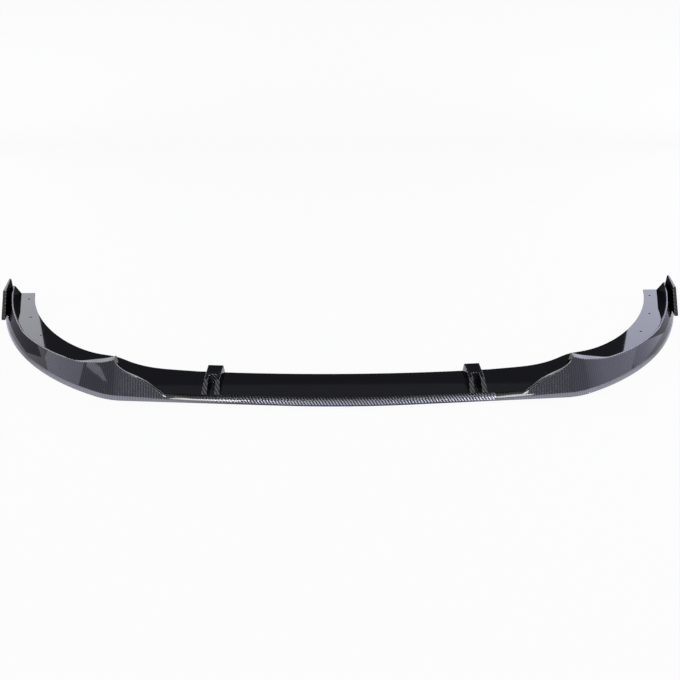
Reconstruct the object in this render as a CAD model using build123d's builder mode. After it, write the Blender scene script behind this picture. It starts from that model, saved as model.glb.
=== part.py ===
# Front splitter lip for a car bumper, moulded in three sections with a fin bonded on each rear end.
# Frame: +X to the right as seen from in front of the lip, -Y to the front of the car, +Z up, in millimetres.
# The origin is at the middle of the box round the lip, on the surface that its rim stands on.
import math
import os

from build123d import *

# The rim, which is the outer edge of the lip seen from above
front_y = -269.0  # foremost point of the rim
rear_y = 269.0  # square cut at the rear of the side sections
nose_radius = 2220.0  # shallow bow at the middle of the front edge
nose_angle = 3.9  # sweep of the straight front edge on either side of the bow, in degrees
corner_x = 522.0  # end of the straight front edge
corner_radius = 170.0  # tight bend below the peak
corner_angle = 22.7  # how far the bend turns, in degrees
side_radius = 612.0  # long bend of the side

# The moulding
skin = 3.0  # wall thickness of the mouldings
blade_height = 17.0  # top of the flat flange above the surface that the rim stands on
nose_round = 12.5  # rounded nose along the top of the rim
rim_foot_chamfer = 1.0
seam_x = 355.0  # joint between the centre section and a side section
seam_gap = 0.4

# The flange's inner edge, as (distance along the rim from the bow, depth behind the rim)
centre_depth = 115.0
seam_depth = 112.3
flange_stations = (
    (270.0, 116.0),
    (330.0, 124.5),
    (366.0, 136.5),
    (450.0, 143.0),
    (500.0, 144.5),
    (555.0, 131.5),
    (630.0, 116.0),
    (760.0, 100.0),
    (916.0, 84.8),
)
rear_depth = 75.0

# The side wall and the ridge, whose crest leans in from the rim
wall_base = 5.5  # foot of the outer panel behind the rim
wall_lean = 25.0  # lean of the outer panel from upright, in degrees
root_height = 10.0  # height from which the wall and the ridge are modelled, inside the blade
crest_chamfer = 1.4
peak_at = 400.0  # distance of the peak along the rim from the bow
wall_step = 24.0  # spacing of the wall's sections
# distance behind the peak, height of the crest, width and fall of the ledge on top, foot of the inner face
wall_stations = (
    (0.0, 88.0, 17.0, -3.0, 76.0),
    (38.0, 78.0, 16.6, -3.0, 70.0),
    (60.0, 73.0, 15.5, -2.7, 66.0),
    (112.0, 63.0, 4.5, 0.0, 45.0),
    (204.0, 56.0, 4.5, 0.0, 38.0),
    (364.0, 47.0, 4.5, 0.0, 33.0),
    (504.0, 54.0, 4.5, 0.0, 33.0),
)
wall_end = (62.0, 7.5, 0.0, 39.0)  # the same at the rear end, without the distance
rear_rake = 40.0  # forward rake of the wall's rear end, in degrees
rake_setback = 2.0
# distance before the peak, height of the crest, width and fall of the strip behind it, foot of the inner face
ridge_stations = (
    (136.0, 13.0, 53.0, 0.0, 62.0),
    (96.0, 35.0, 38.0, 22.0, 57.0),
    (62.0, 52.0, 15.0, 6.0, 58.0),
    (22.0, 71.0, 6.0, 2.5, 60.0),
    (0.0, 88.0, 5.0, 2.0, 62.0),
)
ridge_hollow_from = 1  # first ridge station that is hollow below

# Screw holes in the flange ends, for fixing to the bumper, as (distance along the rim from its rear end,
# depth behind the rim)
mount_holes = ((45.8, 62.0), (163.2, 63.8), (283.2, 66.2))
mount_hole_radius = 3.0

# Uprights on the centre section
upright_setback = 17.0  # from the seam to the upright's foot
upright_inset = 13.0  # from the front of the rim to the upright's foot
upright_base = (43.0, 94.0)
upright_top = (36.5, 60.0)
upright_height = 23.0
recess_width = 18.0
recess_depth = 52.0
upright_chamfer = 1.2

# Lap joint at each seam
tongue_length = 78.0
tongue_root = 12.0  # how far the tongue is moulded on under the side section
tongue_front_gap = 2.0  # from the rounding inside the rim to the tongue
tongue_rear_gap = 6.0  # from the flange's inner edge to the tongue
tongue_fillet = 6.0
screw_radius = 2.0
screw_length = 16.0
screw_head_radius = 4.0
screw_head_height = 2.6
screw_head_chamfer = 0.8
screw_spacing = 20.0
screw_inset = 75.0  # from the upright's front foot to the screws
screw_clearance = 0.3
pilot_clearance = 0.1
pilot_extra = 1.0  # how much deeper the pilot hole is than the screw

# End fins, with their corners as (distance before the rear cut, height)
fin_setback = 22.0  # from the rear end of the rim to the fin's outer face
fin_thickness = 11.5  # at its leading edge
fin_tail_thickness = 6.0
fin_foot = (150.5, 16.0)
fin_nose = (96.0, 76.0)
fin_tail = (31.0, 79.0)
fin_heel = (25.0, 24.0)
fin_chamfer = 1.6

lean_slope = math.tan(math.radians(wall_lean))
nose_turn = math.radians(nose_angle)
bow_end = Vector(nose_radius * math.sin(nose_turn), front_y + nose_radius * (1 - math.cos(nose_turn)))
front_direction = Vector(math.cos(nose_turn), math.sin(nose_turn))
front_length = (corner_x - bow_end.X) / front_direction.X
under_blade = blade_height - skin
inner_bevel = (nose_round - skin) * (2 - math.sqrt(2))  # flat inside the nose, one skin from its rounding
seam_at = (seam_x - bow_end.X) / front_direction.X


def inward(direction):
    return Vector(-direction.Y, direction.X)


def rim_curve(inset, start_x):
    """Right half of the rim from start_x to the rear cut, moved inwards by inset."""
    moved = bow_end + inward(front_direction) * inset
    start = moved + front_direction * ((start_x - bow_end.X) / front_direction.X)
    front = Line(start, moved + front_direction * front_length)
    corner = JernArc(front @ 1, front_direction, corner_radius - inset, corner_angle)
    centre_y = (corner @ 1).Y + (side_radius - inset) * (corner % 1).X
    rear_cut = rear_y - inset
    turn = math.degrees(math.acos((centre_y - rear_cut) / (side_radius - inset))) - nose_angle - corner_angle
    side = JernArc(corner @ 1, corner % 1, side_radius - inset, turn)
    return front @ 0, side @ 1


with BuildLine() as rim:
    rim_curve(0.0, bow_end.X)
rim_wire = rim.wires()[0]
rim_length = rim_wire.length


def rim_plane(distance):
    """Upright plane across the rim, with X inwards from the rim and Y up."""
    place = rim_wire.position_at(distance / rim_length)
    along = rim_wire.tangent_at(distance / rim_length)
    return Plane(origin=place, x_dir=inward(along), z_dir=along)


def behind_rim(distance, depth):
    return rim_plane(distance).from_local_coords(Vector(depth, 0, 0))


rear_rim = rim_wire.position_at(1)
seam_edge = Vector(seam_x, behind_rim(seam_at, seam_depth).Y)
rear_edge = Vector(rear_rim.X - rear_depth, rear_y)
flange_edge = [seam_edge, *(behind_rim(*station) for station in flange_stations), rear_edge]
hole_places = [behind_rim(rim_length - away, depth) for away, depth in mount_holes]


upright_middle = seam_x - upright_setback - upright_base[0] / 2
upright_foot = behind_rim((upright_middle - bow_end.X) / front_direction.X, upright_inset)
upright_plane = Plane(
    origin=(upright_foot.X, upright_foot.Y, blade_height),
    x_dir=front_direction,
    z_dir=(0, 0, 1),
)
joint_plane = upright_plane.offset(-2 * skin)
screw_places = ((-screw_spacing / 2, screw_inset), (screw_spacing / 2, screw_inset))
seam_rim = rim_wire.position_at(seam_at / rim_length)
tongue_plane = Plane(origin=(seam_rim.X, seam_rim.Y, under_blade), x_dir=front_direction, z_dir=(0, 0, 1))
tongue_front = nose_round + tongue_front_gap
tongue_rear = seam_depth - tongue_rear_gap
centre_edge = Vector(seam_x - seam_gap, seam_edge.Y)


def mirrored(place):
    return Vector(-place.X, place.Y)


def centre_front(inset):
    """Front edge of the centre section from its left to its right end, moved inwards by inset."""
    bow = bow_end + inward(front_direction) * inset
    end = bow + front_direction * ((centre_edge.X - bow.X) / front_direction.X)
    Line(mirrored(end), mirrored(bow))
    ThreePointArc(mirrored(bow), (0, front_y + inset), bow)
    Line(bow, end)
    return mirrored(end), end


def along_rim(inset):
    """Picks the edges that run along the rim at one distance inside it."""

    def picked(edge):
        middle = edge @ 0.5
        return abs(rim_wire.distance_to(Vector(middle.X, middle.Y)) - inset) < skin / 2

    return picked


rake_plane = Plane(
    origin=(0, rear_y - rake_setback, blade_height),
    x_dir=(1, 0, 0),
    z_dir=(0, math.cos(math.radians(rear_rake)), math.sin(math.radians(rear_rake))),
)


fin_corners = (fin_foot, fin_nose, fin_tail, fin_heel)
fin_outer_x = rear_rim.X - fin_setback
fin_run = Vector(fin_thickness - fin_tail_thickness, fin_foot[0] - fin_tail[0])
fin_inner_plane = Plane(
    origin=(fin_outer_x - fin_thickness, rear_y - fin_foot[0], 0),
    x_dir=(0, 0, -1),
    z_dir=(fin_run.Y, -fin_run.X, 0),
)


def crest_inset(height):
    return wall_base + (height - blade_height) * lean_slope


def wall_corners(height, ledge, fall, foot):
    """Section of the wall or ridge: outer panel, top strip, inner face, with its root inside the blade."""
    outer = crest_inset(height)
    return (
        (crest_inset(root_height), root_height),
        (outer, height),
        (outer + ledge, height - fall),
        (foot, root_height),
    )


def hollow_corners(height, ledge, fall, foot):
    """Space inside that section, one skin away from its faces and open below."""
    outer_skin = skin / math.cos(math.radians(wall_lean))
    top = min(height, height - fall)
    inner_slope = (foot - crest_inset(height) - ledge) / (height - fall - root_height)
    inner_top = foot - (top - root_height) * inner_slope
    inner_skin = skin * math.hypot(1, inner_slope)
    narrowest = crest_inset(top) + outer_skin + skin / 2 - inner_top + inner_skin
    roof = top - max(skin, narrowest / (lean_slope + inner_slope))
    outer_roof = crest_inset(roof) + outer_skin
    inner_roof = inner_top + (top - roof) * inner_slope - inner_skin
    return (
        (outer_roof - (roof + skin) * lean_slope, -skin),
        (outer_roof, roof),
        (inner_roof, roof),
        (inner_roof + (roof + skin) * inner_slope, -skin),
    )


def between(stations, away):
    """Sizes at one distance, on straight runs between the stations."""
    for near, far in zip(stations, stations[1:]):
        if away <= far[0]:
            share = (away - near[0]) / (far[0] - near[0])
            return [first + (second - first) * share for first, second in zip(near[1:], far[1:])]


wall_length = rim_length - peak_at
wall_stations = (*wall_stations, (wall_length, *wall_end))
wall_steps = round(wall_length / wall_step)
wall_places = [wall_length * step / wall_steps for step in range(wall_steps + 1)]
wall_sections = [(rim_plane(peak_at + away), *between(wall_stations, away)) for away in wall_places]
ridge_sections = [(rim_plane(peak_at - away), *sizes) for away, *sizes in ridge_stations]
hollow_wall_sections = [(wall_sections[0][0].offset(skin), *wall_sections[0][1:]), *wall_sections[1:]]

# Right side: the flat blade with its rim, still solid below
with BuildPart() as right_blade:
    with BuildSketch():
        with BuildLine():
            rim_curve(0.0, seam_x)
            Line(rear_rim, rear_edge)
            Spline(*reversed(flange_edge))
            Line(seam_edge, bow_end + front_direction * seam_at)
        make_face()
    extrude(amount=blade_height)
    fillet(right_blade.edges().group_by(Axis.Z)[-1].filter_by(along_rim(0.0)), nose_round)
    chamfer(right_blade.edges().group_by(Axis.Z)[0].filter_by(along_rim(0.0)), rim_foot_chamfer)

# Side wall from the peak to the rear, cut back at its raked rear end
with BuildPart() as right_wall:
    for plane, *section in wall_sections:
        with BuildSketch(plane) as outline:
            with BuildLine():
                Polyline(*wall_corners(*section), close=True)
            make_face()
            chamfer(outline.vertices().sort_by(Axis.Y)[-2:], crest_chamfer)
    loft()
    split(bisect_by=rake_plane, keep=Keep.BOTTOM)
    split(bisect_by=Plane.XZ.offset(-rear_y), keep=Keep.TOP)

# Ridge that climbs from the front edge to the peak
with BuildPart() as right_ridge:
    for plane, *section in ridge_sections:
        with BuildSketch(plane) as outline:
            with BuildLine():
                Polyline(*wall_corners(*section), close=True)
            make_face()
            chamfer(outline.vertices().sort_by(Axis.Y)[-2:], crest_chamfer)
    loft()

with BuildPart() as right_body:
    add(right_blade.part)
    add(right_wall.part)
    add(right_ridge.part)

# Spaces below the blade, the wall and the ridge, one skin inside the outer faces
with BuildPart() as blade_space:
    with BuildSketch():
        with BuildLine():
            seam_inside, rear_inside = rim_curve(skin, seam_x)
            wall_foot = rear_rim - Vector(wall_end[-1] + skin, skin)
            far_rear = Vector(rear_edge.X - rear_depth, rear_y + skin)
            far_seam = Vector(seam_inside.X, seam_edge.Y + rear_depth)
            Polyline(rear_inside, wall_foot, Vector(wall_foot.X, far_rear.Y), far_rear, far_seam, seam_inside)
        make_face()
    extrude(amount=under_blade)
    chamfer(blade_space.edges().group_by(Axis.Z)[-1].filter_by(along_rim(skin)), inner_bevel)

with BuildPart() as wall_space:
    for plane, *section in hollow_wall_sections:
        with BuildSketch(plane):
            with BuildLine():
                Polyline(*hollow_corners(*section), close=True)
            make_face()
    loft()
    split(bisect_by=rake_plane.offset(-skin), keep=Keep.BOTTOM)
    split(bisect_by=Plane.XZ.offset(skin - rear_y), keep=Keep.TOP)

with BuildPart() as ridge_space:
    for plane, *section in ridge_sections[ridge_hollow_from:]:
        with BuildSketch(plane):
            with BuildLine():
                Polyline(*hollow_corners(*section), close=True)
            make_face()
    loft()

with BuildPart() as right_section:
    add(right_body.part)
    add(blade_space.part, mode=Mode.SUBTRACT)
    add(wall_space.part, mode=Mode.SUBTRACT)
    add(ridge_space.part, mode=Mode.SUBTRACT)
    with Locations(*(hole + Vector(0, 0, blade_height) for hole in hole_places)):
        Hole(mount_hole_radius, depth=skin)
    with BuildSketch(tongue_plane):
        with Locations(((tongue_root - tongue_length) / 2, (tongue_front + tongue_rear) / 2)):
            RectangleRounded(tongue_length + tongue_root, tongue_rear - tongue_front, tongue_fillet)
    extrude(amount=-skin)
    with BuildSketch(joint_plane):
        with Locations(*screw_places):
            Circle(screw_radius + screw_clearance)
    extrude(amount=skin, mode=Mode.SUBTRACT)

# Uprights and pilot holes of the centre section
with BuildPart() as right_pilots:
    with BuildSketch(joint_plane.offset(skin)):
        with Locations(*screw_places):
            Circle(screw_radius + pilot_clearance)
    extrude(amount=screw_length - skin + pilot_extra)

with BuildPart() as right_upright:
    with BuildSketch(upright_plane):
        with Locations((0, upright_base[1] / 2)):
            Rectangle(*upright_base)
    with BuildSketch(upright_plane.offset(upright_height)):
        with Locations((0, upright_base[1] - upright_top[1] / 2)):
            Rectangle(*upright_top)
    loft()
    with BuildSketch(upright_plane):
        with Locations((0, recess_depth / 2)):
            Rectangle(recess_width, recess_depth)
    extrude(amount=upright_height, mode=Mode.SUBTRACT)
    chamfer(right_upright.edges().group_by(Axis.Z)[-1], upright_chamfer)

with BuildPart() as centre_space:
    with BuildSketch():
        with BuildLine():
            left_inside, right_inside = centre_front(skin)
            far_corner = Vector(right_inside.X, seam_edge.Y + rear_depth)
            Polyline(right_inside, far_corner, mirrored(far_corner), left_inside)
        make_face()
    extrude(amount=under_blade)
    chamfer(centre_space.edges().group_by(Axis.Z)[-1].sort_by(Axis.Y)[:3], inner_bevel)

with BuildPart() as centre_section:
    with BuildSketch():
        with BuildLine():
            left_end, right_end = centre_front(0.0)
            Line(right_end, centre_edge)
            ThreePointArc(centre_edge, (0, front_y + centre_depth), mirrored(centre_edge))
            Line(mirrored(centre_edge), left_end)
        make_face()
    extrude(amount=blade_height)
    fillet(centre_section.edges().group_by(Axis.Z)[-1].sort_by(Axis.Y)[:3], nose_round)
    chamfer(centre_section.edges().group_by(Axis.Z)[0].sort_by(Axis.Y)[:3], rim_foot_chamfer)
    add(centre_space.part, mode=Mode.SUBTRACT)
    add(right_upright.part)
    mirror(right_upright.part, about=Plane.YZ)
    add(right_pilots.part, mode=Mode.SUBTRACT)
    mirror(right_pilots.part, about=Plane.YZ, mode=Mode.SUBTRACT)

# Screws of the lap joints
with BuildPart() as right_screws:
    with BuildSketch(joint_plane):
        with Locations(*screw_places):
            Circle(screw_radius)
    extrude(amount=screw_length)
    with BuildSketch(joint_plane):
        with Locations(*screw_places):
            Circle(screw_head_radius)
    extrude(amount=-screw_head_height)
    chamfer(right_screws.edges().group_by(Axis.Z)[0], screw_head_chamfer)

with BuildPart() as joint_screws:
    add(right_screws.part)
    mirror(right_screws.part, about=Plane.YZ)

# Fins, whose lower edge is cut to sit on the outside of the wall
with BuildPart() as right_end_fin:
    with BuildSketch(Plane.YZ.offset(fin_outer_x)):
        with BuildLine():
            Polyline(*((rear_y - away, height) for away, height in fin_corners), close=True)
        make_face()
    extrude(amount=-fin_thickness)
    split(bisect_by=fin_inner_plane, keep=Keep.TOP)
    chamfer(right_end_fin.edges(), fin_chamfer)
    add(right_body.part, mode=Mode.SUBTRACT)

with BuildPart() as left_section:
    mirror(right_section.part, about=Plane.YZ)

with BuildPart() as left_end_fin:
    mirror(right_end_fin.part, about=Plane.YZ)

pieces = {
    "centre_section": centre_section,
    "left_section": left_section,
    "right_section": right_section,
    "left_end_fin": left_end_fin,
    "right_end_fin": right_end_fin,
    "joint_screws": joint_screws,
}
os.makedirs("parts", exist_ok=True)
for name, piece in pieces.items():
    piece.part.label = name
    export_step(piece.part, f"parts/{name}.step")
    print(name, len(piece.solids()), round(piece.part.volume))
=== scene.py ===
import math

import bmesh
import bpy
from mathutils import Matrix, Vector


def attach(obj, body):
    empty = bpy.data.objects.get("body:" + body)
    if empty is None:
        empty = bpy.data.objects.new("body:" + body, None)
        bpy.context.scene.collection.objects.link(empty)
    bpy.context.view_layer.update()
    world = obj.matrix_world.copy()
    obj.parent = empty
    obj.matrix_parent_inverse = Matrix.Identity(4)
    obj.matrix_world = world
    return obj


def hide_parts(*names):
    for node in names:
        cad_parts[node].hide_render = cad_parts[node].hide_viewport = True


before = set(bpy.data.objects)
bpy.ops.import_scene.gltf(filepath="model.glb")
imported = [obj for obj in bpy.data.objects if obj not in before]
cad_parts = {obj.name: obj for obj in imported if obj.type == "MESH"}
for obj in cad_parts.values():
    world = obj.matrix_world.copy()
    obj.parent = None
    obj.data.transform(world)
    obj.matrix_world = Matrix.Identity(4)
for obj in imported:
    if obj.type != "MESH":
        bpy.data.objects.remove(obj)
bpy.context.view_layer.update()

scene = bpy.context.scene
scene.view_settings.view_transform = "Standard"
mm = 0.001
print("frame loaded with", len(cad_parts), "nodes")


def linear(hexColour):
    # sRGB hex to the linear colour that shader sockets take
    parts = [int(hexColour[place:place + 2], 16) / 255 for place in (1, 3, 5)]
    return [part / 12.92 if part <= 0.04045 else ((part + 0.055) / 1.055) ** 2.4 for part in parts] + [1.0]


def addNode(tree, kind, settings=None, inputs=None):
    # inputs maps a socket's name or number to a plain value or to another node's output
    node = tree.nodes.new(kind)
    for name, value in (settings or {}).items():
        setattr(node, name, value)
    for name, value in (inputs or {}).items():
        if isinstance(value, bpy.types.NodeSocket):
            tree.links.new(value, node.inputs[name])
        else:
            node.inputs[name].default_value = value
    return node


def newMaterial(name):
    material = bpy.data.materials.new(name)
    material.use_nodes = True
    material.node_tree.nodes.clear()
    return material, material.node_tree


# Black ABS with a twill print under a gloss clear coat: the eye sees a near-black mirror, and fine
# slanting stripes of the print where light rakes across it
twillPrint = {
    "towWidth": 2.2 * mm,  # about a real tow's width, and the finest that still shows
    "repeat": 4,  # tows in one repeat of the twill
    "over": 2,  # how many of them the warp passes over
    "towRound": 0.42,  # share of a tow's width over which it swells from its edge
    "warpColour": "#b0b1b9",
    "weftColour": "#0c0c0e",
    "gapColour": "#050506",
    "rakedColour": "#101012",  # ink lies under the coat, so it has no bright edge of its own
    "printRoughness": 0.28,
    "coatRoughness": 0.03,
    "coatIor": 1.5,
    "relief": 0.12 * mm,
}


def makeTwillPrint():
    material, tree = newMaterial("twillPrintAbs")
    uv = addNode(tree, "ShaderNodeUVMap", {"uv_map": "weave"})
    axes = addNode(tree, "ShaderNodeSeparateXYZ", inputs={0: uv.outputs[0]})
    across, along = axes.outputs[0], axes.outputs[1]
    # each row of the weave steps on by one tow, which draws the slanting stripes
    column = addNode(tree, "ShaderNodeMath", {"operation": "FLOOR"}, {0: across})
    row = addNode(tree, "ShaderNodeMath", {"operation": "FLOOR"}, {0: along})
    step = addNode(tree, "ShaderNodeMath", {"operation": "ADD"}, {0: column.outputs[0], 1: row.outputs[0]})
    turn = addNode(tree, "ShaderNodeMath", {"operation": "FLOORED_MODULO"},
                   {0: step.outputs[0], 1: twillPrint["repeat"]})
    warpOver = addNode(tree, "ShaderNodeMath", {"operation": "LESS_THAN"},
                       {0: turn.outputs[0], 1: twillPrint["over"] - 0.5})
    # each face's share of the silver paints a sheen on the weave, strongest on the lip, the uprights and
    # the rounds of edges
    inkAndSheenShare = addNode(tree, "ShaderNodeAttribute", {"attribute_name": "inkAndSheen"})
    silverAndSheen = addNode(tree, "ShaderNodeMath", {"operation": "MULTIPLY"},
                     {0: warpOver.outputs[0], 1: inkAndSheenShare.outputs["Fac"]})
    # each tow swells from its edges to its middle
    warpSide = addNode(tree, "ShaderNodeMath", {"operation": "FRACT"}, {0: across})
    weftSide = addNode(tree, "ShaderNodeMath", {"operation": "FRACT"}, {0: along})
    side = addNode(tree, "ShaderNodeMix", {"data_type": "FLOAT"},
                   {0: warpOver.outputs[0], 2: weftSide.outputs[0], 3: warpSide.outputs[0]})
    crown = addNode(tree, "ShaderNodeMath", {"operation": "PINGPONG"}, {0: side.outputs[0], 1: 0.5})
    swell = addNode(tree, "ShaderNodeMapRange", {"interpolation_type": "SMOOTHSTEP"},
                    {0: crown.outputs[0], 1: 0.0, 2: twillPrint["towRound"]})
    tow = addNode(tree, "ShaderNodeMix", {"data_type": "RGBA"}, {
        0: silverAndSheen.outputs[0], 6: linear(twillPrint["weftColour"]), 7: linear(twillPrint["warpColour"])})
    inkAndSheen = addNode(tree, "ShaderNodeMix", {"data_type": "RGBA"},
                  {0: swell.outputs[0], 6: linear(twillPrint["gapColour"]), 7: tow.outputs[2]})
    relief = addNode(tree, "ShaderNodeBump", inputs={
        "Distance": twillPrint["relief"], "Height": swell.outputs[0]})
    shader = addNode(tree, "ShaderNodeBsdfPrincipled", inputs={
        "Base Color": inkAndSheen.outputs[2],
        "Roughness": twillPrint["printRoughness"],
        "Metallic": 1.0,
        "Specular Tint": linear(twillPrint["rakedColour"]),
        "Coat Weight": 1.0,
        "Coat Roughness": twillPrint["coatRoughness"],
        "Coat IOR": twillPrint["coatIor"],
        "Normal": relief.outputs[0],
    })
    addNode(tree, "ShaderNodeOutputMaterial", inputs={0: shader.outputs[0]})
    return material


# The unprinted back of the same sheet: satin black ABS, dull and even, with a fine moulded grain
bareAbs = {
    "colour": "#1b1b1d",
    "darkColour": "#131314",
    "roughness": 0.48,
    "ior": 1.53,
    "grain": 0.9 * mm,  # coarser than a moulded grain really is, so that it shows
    "grainDetail": 3.0,
    "grainRoughness": 0.6,
    "relief": 0.05 * mm,
}


def makeBareAbs():
    material, tree = newMaterial("bareAbs")
    place = addNode(tree, "ShaderNodeTexCoord")
    grain = addNode(tree, "ShaderNodeTexNoise", inputs={
        "Vector": place.outputs["Object"],
        "Scale": 1 / bareAbs["grain"],
        "Detail": bareAbs["grainDetail"],
        "Roughness": bareAbs["grainRoughness"],
    })
    colour = addNode(tree, "ShaderNodeMix", {"data_type": "RGBA"},
                     {0: grain.outputs[0], 6: linear(bareAbs["darkColour"]), 7: linear(bareAbs["colour"])})
    relief = addNode(tree, "ShaderNodeBump", inputs={
        "Distance": bareAbs["relief"], "Height": grain.outputs[0]})
    shader = addNode(tree, "ShaderNodeBsdfPrincipled", inputs={
        "Base Color": colour.outputs[2],
        "Roughness": bareAbs["roughness"],
        "IOR": bareAbs["ior"],
        "Normal": relief.outputs[0],
    })
    addNode(tree, "ShaderNodeOutputMaterial", inputs={0: shader.outputs[0]})
    return material


# Zinc-plated steel: a pale, slightly blue metal, cloudy from the plating bath
zincSteel = {
    "paleColour": "#c3c8cc",
    "dullColour": "#a3a8ab",
    "roughness": 0.34,
    "cloud": 3.0 * mm,
    "cloudDetail": 4.0,
}


def makeZincSteel():
    material, tree = newMaterial("zincSteel")
    place = addNode(tree, "ShaderNodeTexCoord")
    cloud = addNode(tree, "ShaderNodeTexNoise", inputs={
        "Vector": place.outputs["Object"],
        "Scale": 1 / zincSteel["cloud"],
        "Detail": zincSteel["cloudDetail"],
    })
    colour = addNode(tree, "ShaderNodeMix", {"data_type": "RGBA"}, {
        0: cloud.outputs[0], 6: linear(zincSteel["dullColour"]), 7: linear(zincSteel["paleColour"])})
    shader = addNode(tree, "ShaderNodeBsdfPrincipled", inputs={
        "Base Color": colour.outputs[2], "Metallic": 1.0, "Roughness": zincSteel["roughness"]})
    addNode(tree, "ShaderNodeOutputMaterial", inputs={0: shader.outputs[0]})
    return material


twillPrintAbs = makeTwillPrint()
bareAbsBlack = makeBareAbs()
zincPlate = makeZincSteel()
print("materials made")

# The rim in plan and the outer surfaces above it, in the part source's own values
rimShape = {
    "frontY": -269 * mm,
    "noseRadius": 2220 * mm,
    "noseAngle": math.radians(3.9),
    "cornerX": 522 * mm,
    "cornerRadius": 170 * mm,
    "cornerAngle": math.radians(22.7),
    "sideRadius": 612 * mm,
    "bladeHeight": 17 * mm,
    "noseRound": 12.5 * mm,
    "wallBase": 5.5 * mm,
    "wallLean": math.radians(25),
}
noseSin, noseCos = math.sin(rimShape["noseAngle"]), math.cos(rimShape["noseAngle"])
frontWay = Vector((noseCos, noseSin))
frontOut = Vector((noseSin, -noseCos))
bowCentre = Vector((0, rimShape["frontY"] + rimShape["noseRadius"]))
bowEnd = bowCentre + frontOut * rimShape["noseRadius"]
bowLength = rimShape["noseRadius"] * rimShape["noseAngle"]
straightLength = (rimShape["cornerX"] - bowEnd.x) / noseCos
cornerCentre = bowEnd + straightLength * frontWay - rimShape["cornerRadius"] * frontOut
cornerFrom = bowLength + straightLength
sideAngle = rimShape["noseAngle"] + rimShape["cornerAngle"]
sideOut = Vector((math.sin(sideAngle), -math.cos(sideAngle)))
sideCentre = cornerCentre - (rimShape["sideRadius"] - rimShape["cornerRadius"]) * sideOut
sideFrom = cornerFrom + rimShape["cornerRadius"] * rimShape["cornerAngle"]
# the arcs of the rim: centre, radius, distance along the rim and turn at which each starts
bowArc = (bowCentre, rimShape["noseRadius"], 0.0, 0.0)
cornerArc = (cornerCentre, rimShape["cornerRadius"], cornerFrom, rimShape["noseAngle"])
sideArc = (sideCentre, rimShape["sideRadius"], sideFrom, sideAngle)


def onArc(place, arc):
    centre, radius, start, startTurn = arc
    out = place - centre
    turn = math.atan2(out.x, -out.y) - startTurn
    return start + radius * turn, radius - out.length, out.normalized()


def rimFrame(x, y):
    # distance along the rim from its middle (minus on the left), how far inside the rim, and the way out
    side = math.copysign(1.0, x)
    place = Vector((abs(x), y))
    run = (place - bowEnd).dot(frontWay)
    if run < 0:
        distance, inset, out = onArc(place, bowArc)
    elif run <= straightLength:
        distance, inset, out = bowLength + run, -(place - bowEnd).dot(frontOut), frontOut
    else:
        distance, inset, out = onArc(place, cornerArc)
        if distance > sideFrom:
            distance, inset, out = onArc(place, sideArc)
    return side * distance, inset, Vector((side * out.x, out.y, 0.0))


def rimPlace(distance, outset):
    # a place along the right half of the rim, moved outwards
    if bowLength <= distance <= cornerFrom:
        return bowEnd + frontWay * (distance - bowLength) + frontOut * outset
    arc = sideArc
    if distance < bowLength:
        arc = bowArc
    elif distance < sideFrom:
        arc = cornerArc
    centre, radius, start, startTurn = arc
    turn = startTurn + (distance - start) / radius
    return centre + Vector((math.sin(turn), -math.cos(turn))) * (radius + outset)


moulding = {
    "weld": 0.01 * mm,
    "sharpAngle": math.radians(18),
    "onSurface": 0.12 * mm,  # how near a corner lies to the curve that it belongs to
    "sameWay": 0.6,  # how nearly a face looks the way of the curve that it belongs to
    "downFacing": 0.05,  # faces that look down more than this are the sheet's back
    "skirtSpare": 0.1 * mm,
    "topFacing": 0.72,  # faces steeper than this carry the print along the rim
    "flatTop": 0.95,  # faces flatter than this are tops
    "wallStretch": 1.1,  # length up a leaning wall for each mm of height
    "seamX": 355 * mm,
    "uprightFoot": 1.0 * mm,  # from this height above the flange a face belongs to an upright
    "edgeStrip": 2.4 * mm,  # a patch narrower than this is the round of an edge
    "lipTurn": (400 * mm, 440 * mm),  # from here to there the lip's edge comes to stand upright
    "lipFlat": math.radians(30),  # below this the edge stands nearly upright, above it turns into the panel
    "lipSlope": 0.12,
    "noseSheenX": (-240 * mm, 355 * mm),  # the stretch of the nose that keeps the print's full silver, a painted sheen of the weave, left off where the lip's highlight lies
    "insideY": 350 * mm,  # a place within the lip's open side, from which faces turn outwards
}


def isBare(face):
    # downward faces and the inner side of the skirt are the sheet's unprinted back
    if face.normal.z < -moulding["downFacing"]:
        return True
    middle = face.calc_center_median()
    outward = face.normal.x * middle.x + face.normal.y * (middle.y - moulding["insideY"])
    highest = max(corner.co.z for corner in face.verts)
    inSkirt = highest < rimShape["bladeHeight"] + moulding["skirtSpare"]
    return abs(face.normal.z) < moulding["downFacing"] and outward < 0 and inSkirt


def surfacesAt(place):
    # the true normal of each outer surface of the moulding that a corner lies on
    inset, out = rimFrame(place.x, place.y)[1:]
    up = Vector((0.0, 0.0, 1.0))
    nose, near = rimShape["noseRound"], moulding["onSurface"]
    found = {}
    if abs(place.z - rimShape["bladeHeight"]) < near:
        found["flange"] = up
    aside, above = nose - inset, place.z - rimShape["bladeHeight"] + nose
    if abs(math.hypot(aside, above) - nose) < near and aside > -near and above > -near:
        start, end = moulding["lipTurn"]
        stand = min(max((abs(place.x) - start) / (end - start), 0.0), 1.0)
        slope = math.atan2(above, aside)
        low, rest = min(slope, moulding["lipFlat"]), max(slope - moulding["lipFlat"], 0.0)
        slope += (low * moulding["lipSlope"] + rest - slope) * stand
        found["nose"] = out * math.cos(slope) + up * math.sin(slope)
    rise = place.z - rimShape["bladeHeight"]
    if abs(inset - rimShape["wallBase"] - rise * math.tan(rimShape["wallLean"])) < near:
        found["panel"] = out * math.cos(rimShape["wallLean"]) + up * math.sin(rimShape["wallLean"])
    return found


def surfaceOf(face, found):
    # the name of the outer surface that a face lies on with all its corners, if there is one
    shared = set.intersection(*(set(found[number]) for number in face.vertices))
    for surface in ("flange", "panel", "nose"):
        if surface in shared and face.normal.dot(found[face.vertices[0]][surface]) > moulding["sameWay"]:
            return surface
    return None


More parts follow.
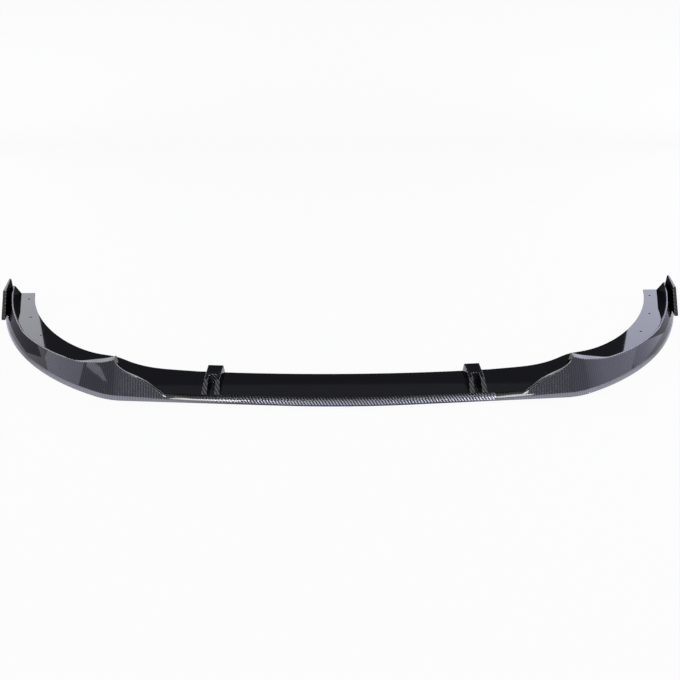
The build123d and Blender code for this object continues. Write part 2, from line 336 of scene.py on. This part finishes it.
# The slope behind the ridge that runs from each peak to the nose: its faces vary a little in tilt, so
# they are shaded as one surface that turns from the flange up to the crest
ridgeSlope = {
    "startX": 424 * mm,
    "endX": 545 * mm,
    "rise": 0.54,  # height of the crest for each mm outwards
    "inward": 0.25,  # faces that look inwards and up by more than this belong to it
    "baseNormal": Vector((0.40, 0.10, 0.91)),
    "crestNormal": Vector((0.57, 0.42, 0.71)),
}


def onRidgeSlope(face):
    inReach = ridgeSlope["startX"] < abs(face.center.x) < ridgeSlope["endX"]
    inward = -face.normal.x * math.copysign(1.0, face.center.x)
    looksIn = inward > ridgeSlope["inward"] and face.normal.z > ridgeSlope["inward"]
    return inReach and looksIn and face.center.z > rimShape["bladeHeight"]


def ridgeNormal(place):
    # turns from the base to the crest, slowly at first
    crest = max((abs(place.x) - ridgeSlope["startX"]) * ridgeSlope["rise"], mm)
    share = min(max((place.z - rimShape["bladeHeight"]) / crest, 0.0), 1.0) ** 2
    normal = ridgeSlope["baseNormal"].lerp(ridgeSlope["crestNormal"], share).normalized()
    return Vector((-math.copysign(normal.x, place.x), normal.y, normal.z))


# The print's silver share differs by face: a painted sheen of the weave, strong on the lip, the uprights
# and the rounds of edges, faint on the wide faces
inkAndSheenShares = {
    "nose": 1.0,
    "sideNose": 0.06,
    "panel": 0.05,
    "flange": 0.015,
    "upright": 0.4,
    # on the rounds of edges the silver paints a highlight
    "edge": 0.5,
    "rest": 0.06,
}


def inkAndSheenOn(face, surface):
    # the share of the print's silver on a face, which paints the weave's sheen
    if surface == "nose":
        left, right = moulding["noseSheenX"]
        return inkAndSheenShares["nose" if left < face.center.x < right else "sideNose"]
    if surface:
        return inkAndSheenShares[surface]
    inMiddle = abs(face.center.x) < moulding["seamX"]
    lifted = face.center.z > rimShape["bladeHeight"] + moulding["uprightFoot"]
    onUpright = inMiddle and lifted and face.normal.z < moulding["flatTop"]
    return inkAndSheenShares["upright" if onUpright else "rest"]


def edgeStrips(mesh):
    # numbers of the faces that make the narrow rounds of edges: patches between sharp edges, by their width
    facesAt = {}
    for face in mesh.polygons:
        for key in face.edge_keys:
            facesAt.setdefault(key, []).append(face.index)
    edges = {edge.key: edge for edge in mesh.edges}
    lengths = {key: (mesh.vertices[key[0]].co - mesh.vertices[key[1]].co).length for key in facesAt}
    strips, seen = set(), set()
    for first in mesh.polygons:
        if first.index in seen:
            continue
        patch, border, waiting = [], 0.0, [first.index]
        seen.add(first.index)
        while waiting:
            patch.append(waiting.pop())
            for key in mesh.polygons[patch[-1]].edge_keys:
                if edges[key].use_edge_sharp or len(facesAt[key]) != 2:
                    border += lengths[key]
                    continue
                for number in facesAt[key]:
                    if number not in seen:
                        seen.add(number)
                        waiting.append(number)
        if 2 * sum(mesh.polygons[number].area for number in patch) < moulding["edgeStrip"] * border:
            strips.update(patch)
    return strips


def finishSurfaces(mesh):
    # faces on an outer surface are shaded by its curve and the ridge's slope as one, the rest as they lie
    found = [surfacesAt(corner.co) for corner in mesh.vertices]
    normals = [corner.vector.copy() for corner in mesh.corner_normals]
    strips = edgeStrips(mesh)
    beside = [Vector() for corner in mesh.vertices]
    # each face's share of the print's silver, a painted sheen of the weave
    inkAndSheen = mesh.attributes.new("inkAndSheen", "FLOAT", "FACE")
    for face in mesh.polygons:
        surface = surfaceOf(face, found)
        inkAndSheen.data[face.index].value = inkAndSheenOn(face, surface)
        if surface:
            strips.discard(face.index)
        if face.index in strips:
            continue
        onRidge = onRidgeSlope(face)
        for loop in face.loop_indices:
            corner = mesh.vertices[mesh.loops[loop].vertex_index]
            if surface:
                normals[loop] = found[corner.index][surface]
            elif onRidge:
                normals[loop] = ridgeNormal(corner.co)
            beside[corner.index] += normals[loop] * face.area
    # the round of an edge turns from one neighbour's normal to the other's
    for number in strips:
        # more silver on the round of an edge paints a highlight along it
        inkAndSheen.data[number].value = inkAndSheenShares["edge"]
        for loop in mesh.polygons[number].loop_indices:
            neighbour = beside[mesh.loops[loop].vertex_index]
            if neighbour.length > 0:
                normals[loop] = neighbour.normalized()
    mesh.normals_split_custom_set(normals)


def layPrint(face, weave, lean):
    # the print lies along x and y on flat tops, and along the rim and up on the other faces
    flat = face.normal.z > moulding["topFacing"]
    middle = face.calc_center_median()
    out = rimFrame(middle.x, middle.y)[2]
    across = abs(face.normal.x * out.y - face.normal.y * out.x) > moulding["topFacing"]
    for loop in face.loops:
        place = loop.vert.co
        if flat:
            along, up = place.x, place.y
        else:
            distance, inset = rimFrame(place.x, place.y)[:2]
            along, up = inset if across else distance, place.z * moulding["wallStretch"]
        ahead = along * math.cos(lean) + up * math.sin(lean)
        aside = up * math.cos(lean) - along * math.sin(lean)
        tows = Vector((ahead + aside, ahead - aside)) * math.sqrt(0.5)  # they run at 45 degrees
        loop[weave].uv = tows / twillPrint["towWidth"]


def dressMoulding(nodeName, pieceName, lean):
    # the CAD node's own form, with the print laid on it and its true curves in the shading
    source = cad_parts[nodeName].data
    work = bmesh.new()
    corners = [work.verts.new(corner.co) for corner in source.vertices]
    for face in source.polygons:
        work.faces.new([corners[number] for number in face.vertices])
    bmesh.ops.remove_doubles(work, verts=work.verts, dist=moulding["weld"])
    bmesh.ops.dissolve_degenerate(work, edges=work.edges, dist=moulding["weld"])
    work.normal_update()
    weave = work.loops.layers.uv.new("weave")
    for face in work.faces:
        face.smooth = True
        face.material_index = int(isBare(face))
        layPrint(face, weave, lean)
    mesh = bpy.data.meshes.new(pieceName)
    mesh.materials.append(twillPrintAbs)
    mesh.materials.append(bareAbsBlack)
    work.to_mesh(mesh)
    work.free()
    mesh.set_sharp_from_angle(angle=moulding["sharpAngle"])
    finishSurfaces(mesh)
    piece = bpy.data.objects.new(pieceName, mesh)
    scene.collection.objects.link(piece)
    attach(piece, "root")
    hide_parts(nodeName)
    print("dressed", pieceName, len(mesh.polygons), "faces")


# The CAD node that each piece stands for, and the lean of its print: the sheet of the centre section was
# laid with its stripes leaning, the others with them upright
mouldings = {
    "centreSection": ("centre_section", math.radians(32)),
    "leftSection": ("left_section", 0.0),
    "rightSection": ("right_section", 0.0),
    "leftEndFin": ("left_end_fin", 0.0),
    "rightEndFin": ("right_end_fin", 0.0),
}
for pieceName, (nodeName, lean) in mouldings.items():
    dressMoulding(nodeName, pieceName, lean)

# each of these is a named input of the screw's tree
jointScrew = {
    "Head Radius": 4.0 * mm,
    "Face Radius": 3.2 * mm,
    "Head Height": 2.6 * mm,
    "Head Chamfer": 0.8 * mm,
    "Recess Span": 4.4 * mm,
    "Recess Wing": 1.1 * mm,
    "Recess Depth": 1.5 * mm,
    "Core Radius": 1.6 * mm,
    "Shank Length": 16.0 * mm,
    "Thread Depth": 0.4 * mm,
    "Thread Length": 15.2 * mm,
    "Thread Turns": 11.0,
}
screwMaking = {
    "headFacets": 32,
    "headRings": 13,  # one of them falls on the shoulder of the taper
    "coreFacets": 24,
    "turnFacets": 24,  # in one turn of the thread
    "ridgeFacets": 4,  # across the ridge of the thread
    "wingDepths": (2.0, 1.9),  # in recess depths, unequal so that the two floors don't lie in one plane
    "reach": 2.5,  # in head radii, within which corners belong to one screw
    "sharpAngle": math.radians(35),
}


def addScrewHead(tree, size):
    # the head is turned about its own middle: straight sides, then a taper down to its face
    blank = addNode(tree, "GeometryNodeMeshCylinder", inputs={
        "Vertices": screwMaking["headFacets"], "Side Segments": screwMaking["headRings"],
        "Radius": size["Head Radius"], "Depth": size["Head Height"]})
    place = addNode(tree, "GeometryNodeInputPosition")
    axes = addNode(tree, "ShaderNodeSeparateXYZ", inputs={0: place.outputs[0]})
    low = addNode(tree, "ShaderNodeMath", {"operation": "MULTIPLY"}, {0: size["Head Height"], 1: -0.5})
    shoulder = addNode(tree, "ShaderNodeMath", {"operation": "ADD"},
                       {0: low.outputs[0], 1: size["Head Chamfer"]})
    share = addNode(tree, "ShaderNodeMath", {"operation": "DIVIDE"},
                    {0: size["Face Radius"], 1: size["Head Radius"]})
    keep = addNode(tree, "ShaderNodeMapRange", inputs={
        0: axes.outputs[2], 1: low.outputs[0], 2: shoulder.outputs[0], 3: share.outputs[0], 4: 1.0})
    taper = addNode(tree, "ShaderNodeCombineXYZ", inputs={0: keep.outputs[0], 1: keep.outputs[0], 2: 1.0})
    tapered = addNode(tree, "ShaderNodeVectorMath", {"operation": "MULTIPLY"},
                      {0: place.outputs[0], 1: taper.outputs[0]})
    turned = addNode(tree, "GeometryNodeSetPosition", inputs={
        "Geometry": blank.outputs[0], "Position": tapered.outputs[0]})
    # two blocks across its face cut the recess, half of each below the face, one a little less deep
    drop = addNode(tree, "ShaderNodeCombineXYZ", inputs={2: low.outputs[0]})
    recess = addNode(tree, "GeometryNodeMeshBoolean", {"operation": "DIFFERENCE", "solver": "EXACT"}, {
        "Mesh 1": turned.outputs[0], "Self Intersection": True})
    spans = (("Recess Span", "Recess Wing"), ("Recess Wing", "Recess Span"))
    for (wide, slim), depths in zip(spans, screwMaking["wingDepths"]):
        deep = addNode(tree, "ShaderNodeMath", {"operation": "MULTIPLY"},
                       {0: size["Recess Depth"], 1: depths})
        wing = addNode(tree, "ShaderNodeCombineXYZ", inputs={
            0: size[wide], 1: size[slim], 2: deep.outputs[0]})
        block = addNode(tree, "GeometryNodeMeshCube", inputs={"Size": wing.outputs[0]})
        cutter = addNode(tree, "GeometryNodeTransform", inputs={
            "Geometry": block.outputs[0], "Translation": drop.outputs[0]})
        tree.links.new(cutter.outputs[0], recess.inputs["Mesh 2"])
    return addNode(tree, "GeometryNodeTransform", inputs={
        "Geometry": recess.outputs[0], "Translation": drop.outputs[0]})


def addScrewShank(tree, size):
    # a plain core, and the thread swept along a spiral on it
    core = addNode(tree, "GeometryNodeMeshCone", inputs={
        "Vertices": screwMaking["coreFacets"], "Radius Top": size["Core Radius"],
        "Radius Bottom": size["Core Radius"], "Depth": size["Shank Length"]})
    spiral = addNode(tree, "GeometryNodeCurveSpiral", inputs={
        "Resolution": screwMaking["turnFacets"], "Rotations": size["Thread Turns"],
        "Start Radius": size["Core Radius"], "End Radius": size["Core Radius"],
        "Height": size["Thread Length"]})
    ridge = addNode(tree, "GeometryNodeCurvePrimitiveCircle", inputs={
        "Resolution": screwMaking["ridgeFacets"], "Radius": size["Thread Depth"]})
    swept = addNode(tree, "GeometryNodeCurveToMesh", inputs={
        "Curve": spiral.outputs[0], "Profile Curve": ridge.outputs[0], "Fill Caps": True})
    lift = addNode(tree, "ShaderNodeCombineXYZ", inputs={2: size["Thread Depth"]})
    thread = addNode(tree, "GeometryNodeTransform", inputs={
        "Geometry": swept.outputs[0], "Translation": lift.outputs[0]})
    return core, thread


def makeScrewTree():
    # at each place a pan head with a cross recess hangs below the joint, and a threaded shank rises
    tree = bpy.data.node_groups.new("jointScrewTree", "GeometryNodeTree")
    tree.interface.new_socket("Places", in_out="INPUT", socket_type="NodeSocketGeometry")
    sockets = {}
    for name in jointScrew:
        socket = tree.interface.new_socket(name, in_out="INPUT", socket_type="NodeSocketFloat")
        sockets[name] = socket.identifier
    tree.interface.new_socket("Screws", in_out="OUTPUT", socket_type="NodeSocketGeometry")
    size = addNode(tree, "NodeGroupInput").outputs
    screw = addNode(tree, "GeometryNodeJoinGeometry")
    for piece in (addScrewHead(tree, size), *addScrewShank(tree, size)):
        tree.links.new(piece.outputs[0], screw.inputs[0])
    placed = addNode(tree, "GeometryNodeInstanceOnPoints", inputs={
        "Points": size["Places"], "Instance": screw.outputs[0]})
    real = addNode(tree, "GeometryNodeRealizeInstances", inputs={0: placed.outputs[0]})
    plated = addNode(tree, "GeometryNodeSetMaterial", inputs={
        "Geometry": real.outputs[0], "Material": zincPlate})
    addNode(tree, "NodeGroupOutput", inputs={0: plated.outputs[0]})
    return tree, sockets


def screwPlaces():
    # the corners of the CAD screws fall into one group for each screw, which gives the seat of its head
    reach = jointScrew["Head Radius"] * screwMaking["reach"]
    groups = []
    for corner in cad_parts["joint_screws"].data.vertices:
        near = [group for group in groups if (group[0].xy - corner.co.xy).length < reach]
        if near:
            near[0].append(corner.co)
        else:
            groups.append([corner.co])
    places = []
    for group in groups:
        low = Vector([min(place[axis] for place in group) for axis in range(3)])
        high = Vector([max(place[axis] for place in group) for axis in range(3)])
        places.append(((low.x + high.x) / 2, (low.y + high.y) / 2, low.z + jointScrew["Head Height"]))
    return places


def makeJointScrews():
    points = bpy.data.meshes.new("jointScrewPlaces")
    points.from_pydata(screwPlaces(), [], [])
    piece = bpy.data.objects.new("jointScrews", points)
    scene.collection.objects.link(piece)
    tree, sockets = makeScrewTree()
    modifier = piece.modifiers.new("screws", "NODES")
    modifier.node_group = tree
    for name, identifier in sockets.items():
        modifier[identifier] = jointScrew[name]
    evaluated = piece.evaluated_get(bpy.context.evaluated_depsgraph_get())
    piece.data = bpy.data.meshes.new_from_object(evaluated)
    piece.modifiers.remove(modifier)
    piece.data.polygons.foreach_set("use_smooth", [True] * len(piece.data.polygons))
    piece.data.set_sharp_from_angle(angle=screwMaking["sharpAngle"])
    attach(piece, "root")
    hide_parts("joint_screws")
    print("screws set", len(points.vertices), len(piece.data.polygons), "faces")


makeJointScrews()

# Studio: a pale floor, softboxes that light the lip, cards that only its gloss mirrors, and the camera
floorLook = {"size": 14.0, "colour": "#f4f4f4", "shadowShare": 0.06, "drop": 0.3 * mm}
worldLook = {"colour": "#ffffff", "fill": 0.3, "white": 1.0}


def whiteRays(tree):
    # 1 for the rays that see the floor and the world as plain white
    path = addNode(tree, "ShaderNodeLightPath")
    seen = addNode(tree, "ShaderNodeMath", {"operation": "MAXIMUM"},
                   {0: path.outputs["Is Camera Ray"], 1: path.outputs["Is Glossy Ray"]})
    return addNode(tree, "ShaderNodeMath", {"operation": "MAXIMUM"},
                   {0: seen.outputs[0], 1: path.outputs["Is Transmission Ray"]}).outputs[0]


def stagePanel(name, corners, material):
    mesh = bpy.data.meshes.new(name)
    mesh.from_pydata([Vector(corner) for corner in corners], [], [range(len(corners))])
    mesh.materials.append(material)
    piece = bpy.data.objects.new(name, mesh)
    scene.collection.objects.link(piece)
    return piece


def glossOnly(card):
    # mirrored in the gloss, without lighting the scene
    card.visible_camera = False
    card.visible_diffuse = False
    card.visible_shadow = False


# corners of a panel that stands across the view, lies level, or stands along the view
def upright(y, left, right, low, high):
    return ((left, y, low), (right, y, low), (right, y, high), (left, y, high))


def level(z, left, right, front, rear):
    return ((left, front, z), (right, front, z), (right, rear, z), (left, rear, z))


def sideways(x, front, rear, low, high):
    return ((x, front, low), (x, rear, low), (x, rear, high), (x, front, high))


def makeFloor():
    # white paper: plain white to the eye and in the gloss, but for a share that takes the lip's shadow
    material, tree = newMaterial("paleFloor")
    share = addNode(tree, "ShaderNodeMath", {"operation": "MULTIPLY"},
                    {0: whiteRays(tree), 1: 1 - floorLook["shadowShare"]})
    paper = addNode(tree, "ShaderNodeBsdfDiffuse", inputs={0: linear(floorLook["colour"])})
    white = addNode(tree, "ShaderNodeEmission", inputs={"Strength": 1.0})
    mixed = addNode(tree, "ShaderNodeMixShader", inputs={
        0: share.outputs[0], 1: paper.outputs[0], 2: white.outputs[0]})
    addNode(tree, "ShaderNodeOutputMaterial", inputs={0: mixed.outputs[0]})
    half = floorLook["size"] / 2
    stagePanel("floor", level(-floorLook["drop"], -half, half, -half, half), material)


def makeWorld():
    world = bpy.data.worlds.new("studio")
    scene.world = world
    world.use_nodes = True
    tree = world.node_tree
    tree.nodes.clear()
    strength = addNode(tree, "ShaderNodeMapRange", inputs={
        0: whiteRays(tree), 3: worldLook["fill"], 4: worldLook["white"]})
    sky = addNode(tree, "ShaderNodeBackground", inputs={
        "Color": linear(worldLook["colour"]), "Strength": strength.outputs[0]})
    addNode(tree, "ShaderNodeOutputWorld", inputs={0: sky.outputs[0]})


def softbox(name, strength, colour, corners, fade=None):
    # with a fade it starts at a share of its strength and grows along an axis to the place where it is full
    material, tree = newMaterial(name)
    glow = addNode(tree, "ShaderNodeEmission", inputs={"Color": linear(colour), "Strength": strength})
    if fade:
        place = addNode(tree, "ShaderNodeTexCoord")
        axes = addNode(tree, "ShaderNodeSeparateXYZ", inputs={0: place.outputs["Object"]})
        ramp = addNode(tree, "ShaderNodeMapRange", inputs={
            0: axes.outputs[fade["axis"]], 1: fade["start"], 2: fade["full"],
            3: strength * fade["startShare"], 4: strength})
        tree.links.new(ramp.outputs[0], glow.inputs["Strength"])
    addNode(tree, "ShaderNodeOutputMaterial", inputs={0: glow.outputs[0]})
    box = stagePanel(name, corners, material)
    box.visible_camera = False
    return box


# Strength, colour and corners of each softbox, in metres, and a fade along y where it has one
softboxes = {
    "rearLeftSoftbox": (3.4, "#f4f5ff", upright(y=1.5, left=-2.6, right=-1.245, low=0.3, high=2.7)),
    "rearRightSoftbox": (4.3, "#e6e9ff", upright(y=1.5, left=1.26, right=2.6, low=0.3, high=2.7)),
    "rightSoftbox": (2.5, "#e4e4ff", sideways(x=2.4, front=-1.3, rear=0.1, low=0.0, high=0.9),
                     {"axis": 1, "start": -1.3, "full": -0.75, "startShare": 0.55}),
    "leftSoftbox": (2.3, "#e8e8ff", sideways(x=-2.4, front=-0.8, rear=0.02, low=0.0, high=0.9)),
    "frontSoftbox": (1.2, "#e6e6ff", upright(y=-3.4, left=-2.8, right=2.8, low=0.0, high=2.7)),
    "topSoftbox": (0.7, "#ffffff", level(z=2.9, left=-1.4, right=1.4, front=-1.7, rear=-0.1)),
}

# y and z of a slim bar of light, mirrored as a wedge in the tight bend of the left panel
leftBarOutline = (
    (-0.859, 0.284), (-1.121, 0.334), (-1.932, 0.529),
    (-1.737, 0.506), (-1.152, 0.381), (-0.87, 0.33),
)
leftBarX = -2.4
cardLift = 0.5 * mm  # cards that lie on the floor

# The same for the cards and flags that only the gloss mirrors: the dim ones keep the flange black
glossCards = {
    "rightFill": (1.3, "#e6e6ff", sideways(x=2.7, front=-3.4, rear=1.4, low=0.0, high=1.6)),
    "leftFill": (0.9, "#e8e8ff", sideways(x=-2.7, front=-3.4, rear=1.4, low=0.0, high=1.6)),
    "leftBar": (2.8, "#ececff", [(leftBarX, y, z) for y, z in leftBarOutline]),
    "leftFloorCard": (0.34, "#f0e6ff", level(z=cardLift, left=-1.6, right=-0.93, front=0.0, rear=0.7)),
    "rightFloorCard": (1.9, "#e4e4ff", level(z=cardLift, left=0.95, right=2.4, front=-0.12, rear=0.08)),
    "leftStrip": (16.0, "#ffffff", upright(y=-3.0, left=-1.19, right=-0.83, low=0.0, high=1.6)),
    "rightStrip": (14.0, "#ffffff", upright(y=-3.0, left=1.2, right=1.4, low=0.0, high=1.6)),
    "rearFlag": (0.14, "#e8eaff", upright(y=1.6, left=-1.5, right=1.5, low=0.2, high=1.21)),
    "rearFlagTop": (0.25, "#e8eaff", upright(y=1.6, left=-1.5, right=1.5, low=1.21, high=3.0)),
    "ceilingFlag": (0.04, "#ffffff", level(z=3.0, left=-1.6, right=1.6, front=0.0, rear=1.6)),
    "rearFloorCard": (0.05, "#ffffff", level(z=cardLift, left=-0.92, right=0.92, front=0.25, rear=1.5)),
    "farRightFloorCard": (0.6, "#ececff", level(z=cardLift, left=0.93, right=1.8, front=0.08, rear=0.7)),
}

# A pale card on the floor round the rim, seen only in the gloss of its upright edge
rimCard = {
    "gap": 0.6 * mm,
    "width": 55 * mm,
    "step": 8 * mm,
    "length": 1200 * mm,
    "colour": "#ececff",
    "middleStrength": 1.6,
    "cornerStrength": 5.2,
    "cornerX": (250 * mm, 420 * mm),  # from here to there it brightens towards the corners
    "rearShare": 0.2,
    "rearY": (-250 * mm, -50 * mm),  # from here to there it dims towards the rear
}


def makeRimCard():
    material, tree = newMaterial("rimCard")
    place = addNode(tree, "ShaderNodeTexCoord")
    axes = addNode(tree, "ShaderNodeSeparateXYZ", inputs={0: place.outputs["Object"]})
    aside = addNode(tree, "ShaderNodeMath", {"operation": "ABSOLUTE"}, {0: axes.outputs[0]})
    front = addNode(tree, "ShaderNodeMapRange", inputs={
        0: aside.outputs[0], 1: rimCard["cornerX"][0], 2: rimCard["cornerX"][1],
        3: rimCard["middleStrength"], 4: rimCard["cornerStrength"]})
    fade = addNode(tree, "ShaderNodeMapRange", inputs={
        0: axes.outputs[1], 1: rimCard["rearY"][0], 2: rimCard["rearY"][1],
        3: 1.0, 4: rimCard["rearShare"]})
    strength = addNode(tree, "ShaderNodeMath", {"operation": "MULTIPLY"},
                       {0: front.outputs[0], 1: fade.outputs[0]})
    glow = addNode(tree, "ShaderNodeEmission", inputs={
        "Color": linear(rimCard["colour"]), "Strength": strength.outputs[0]})
    addNode(tree, "ShaderNodeOutputMaterial", inputs={0: glow.outputs[0]})
    count = round(rimCard["length"] / rimCard["step"])
    inner = [rimPlace(number * rimCard["step"], rimCard["gap"]) for number in range(count + 1)]
    outer = [rimPlace(number * rimCard["step"], rimCard["width"]) for number in range(count + 1)]
    outline = [Vector((-place.x, place.y)) for place in reversed(inner[1:])] + inner
    outline += outer[::-1] + [Vector((-place.x, place.y)) for place in outer[1:]]
    glossOnly(stagePanel("rimCard", [(place.x, place.y, 0.0) for place in outline], material))


# The place and lens from which the lip's outline falls as in the photo, with angles in degrees
view = {
    "place": (-0.05164, -2.1875, 1.3348),
    "tilt": 31.0,
    "turn": 1.168,
    "roll": 0.228,
    "lens": 52.94,
    "sensor": 36.0,
    "reach": 100.0,
}


def makeCamera():
    camera = bpy.data.objects.new("camera", bpy.data.cameras.new("camera"))
    camera.data.lens = view["lens"]
    camera.data.sensor_width = view["sensor"]
    camera.data.clip_end = view["reach"]
    camera.matrix_world = (
        Matrix.Translation(view["place"])
        @ Matrix.Rotation(math.radians(-view["turn"]), 4, "Z")
        @ Matrix.Rotation(math.radians(90 - view["tilt"]), 4, "X")
        @ Matrix.Rotation(math.radians(view["roll"]), 4, "Z")
    )
    scene.collection.objects.link(camera)
    scene.camera = camera


makeFloor()
makeWorld()
for name, look in softboxes.items():
    softbox(name, *look)
for name, look in glossCards.items():
    glossOnly(softbox(name, *look))
makeRimCard()
makeCamera()
print("studio set")
